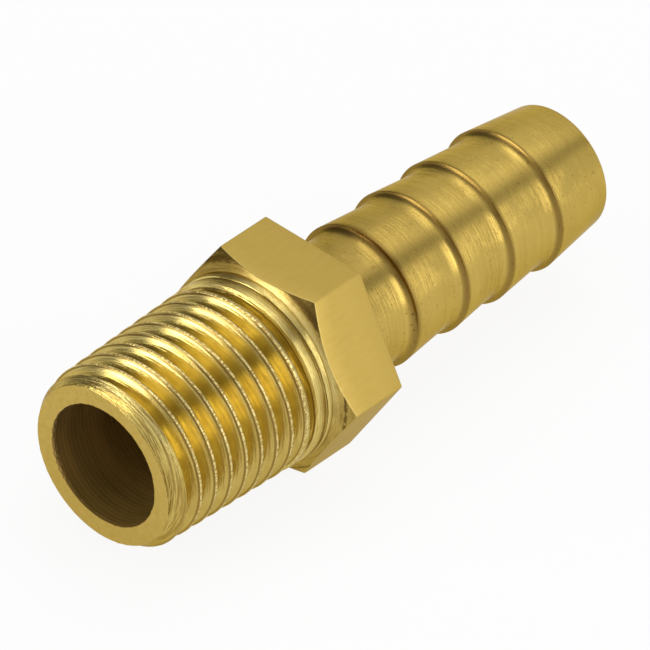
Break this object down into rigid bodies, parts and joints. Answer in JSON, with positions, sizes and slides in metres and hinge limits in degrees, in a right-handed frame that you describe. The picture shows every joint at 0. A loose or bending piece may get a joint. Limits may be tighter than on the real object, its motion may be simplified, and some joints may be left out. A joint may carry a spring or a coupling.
{
  "type": "hose barb tail",
  "caption": "Straight brass hose adapter turned from hexagon bar: tapered male pipe thread at one end, hexagon for a spanner, ridged tail for a hose at the other, open bore right through.",
  "frame": {"origin": "centre of the bore in the flat end face of the tapered thread", "axes": "+X along the bore from the threaded end to the hose end; +Z square to one flat of the hexagon; +Y completes a right-handed frame, through two corners of the hexagon"},
  "size_m": [0.0442, 0.0164, 0.0142],
  "materials": {
    "brass": "bright turned brass with fine lathe marks, satin drawn flats on the hexagon"
  },
  "bodies": {
    "root": {"hose_barb_tail": "brass"}
  },
  "joints": []
}
